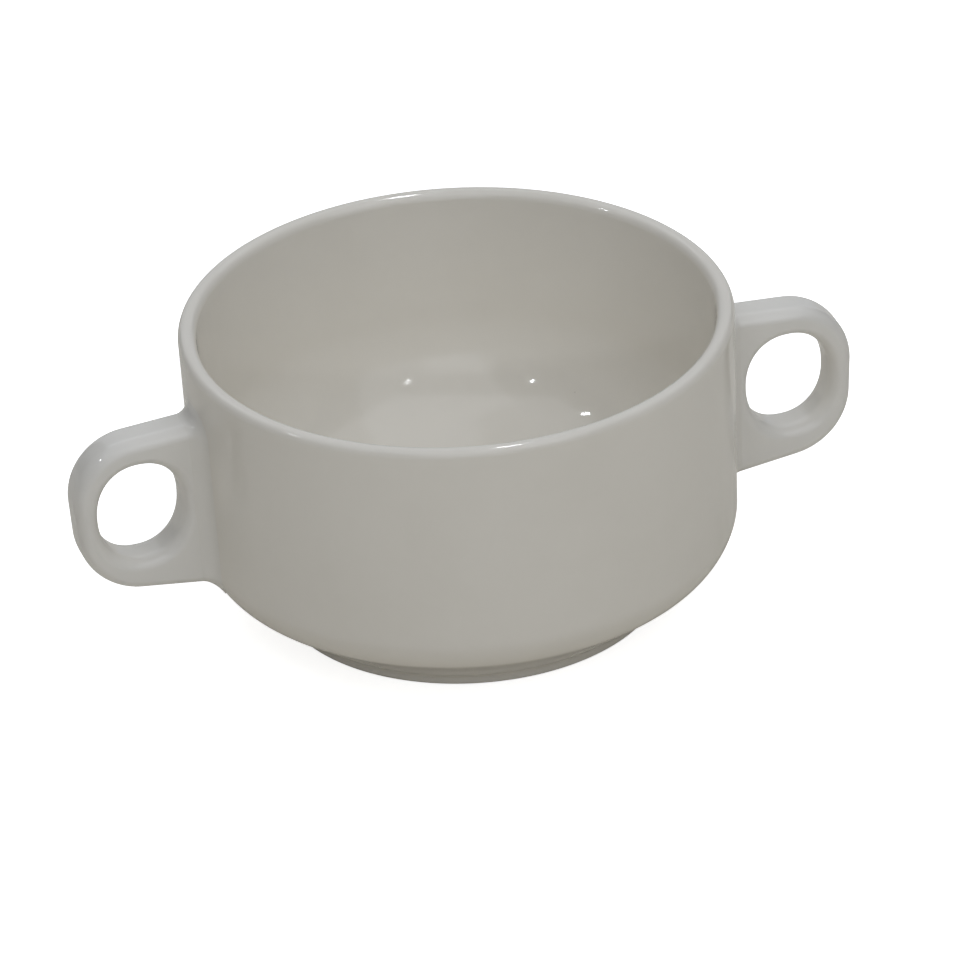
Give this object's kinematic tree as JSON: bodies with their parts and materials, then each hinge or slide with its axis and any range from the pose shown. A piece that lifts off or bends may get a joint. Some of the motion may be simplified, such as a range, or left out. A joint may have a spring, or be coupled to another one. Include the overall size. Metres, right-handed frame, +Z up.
{
  "type": "consomme cup",
  "caption": "Low round porcelain cup with a stacking shoulder, a foot ring and lug handles with finger holes, for serving clear soup.",
  "frame": {"origin": "on the cup's axis, at the height of the surface that the foot ring stands on", "axes": "+Z up along the cup's axis; +X out through the right handle and -X through the left one; +Y away from the side shown in the picture"},
  "size_m": [0.1542, 0.105, 0.059],
  "materials": {
    "body_glaze": "glossy clear glaze over warm white vitrified porcelain, bare on the standing ring",
    "handle_glaze": "glossy clear glaze over warm white vitrified porcelain",
    "slip_glaze": "glossy glaze pooled slightly thicker over the luting slip"
  },
  "bodies": {
    "root": {"cup_body": "body_glaze", "left_handle": "handle_glaze", "right_handle": "handle_glaze", "left_handle_slip": "slip_glaze", "right_handle_slip": "slip_glaze"}
  },
  "joints": []
}
